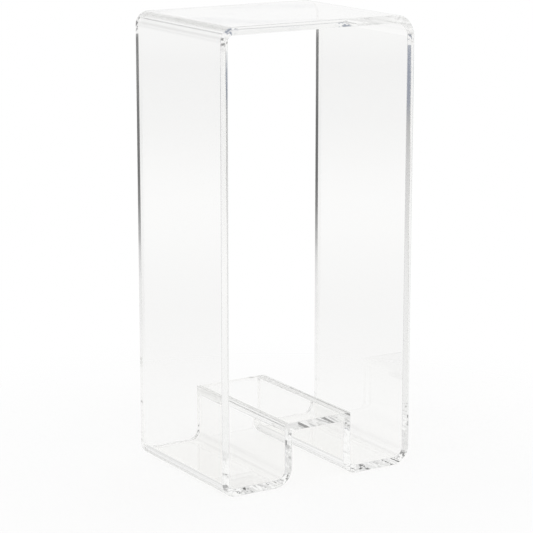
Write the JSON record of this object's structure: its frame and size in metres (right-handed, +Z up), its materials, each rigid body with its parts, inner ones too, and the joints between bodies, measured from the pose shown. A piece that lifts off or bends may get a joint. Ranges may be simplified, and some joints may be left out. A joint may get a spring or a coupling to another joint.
{
  "type": "bible stand",
  "caption": "Tall clear acrylic stand: a bent sheet gives a flat top, two sides and inturned feet, and a small bridge shelf joins the lips of the feet.",
  "frame": {"origin": "middle of the footprint, on the surface that the stand rests on", "axes": "+Z up, X across the width from one side to the other, -Y towards the front; the section is the same all along Y"},
  "size_m": [0.343, 0.254, 0.711],
  "materials": {
    "clear_acrylic_sheet": "clear, polished faces, sawn and flame-polished edges",
    "clear_acrylic_plate": "clear, polished faces, sawn and flame-polished edges"
  },
  "bodies": {
    "root": {"bent_sheet": "clear_acrylic_sheet", "bridge_plate": "clear_acrylic_plate"}
  },
  "joints": []
}
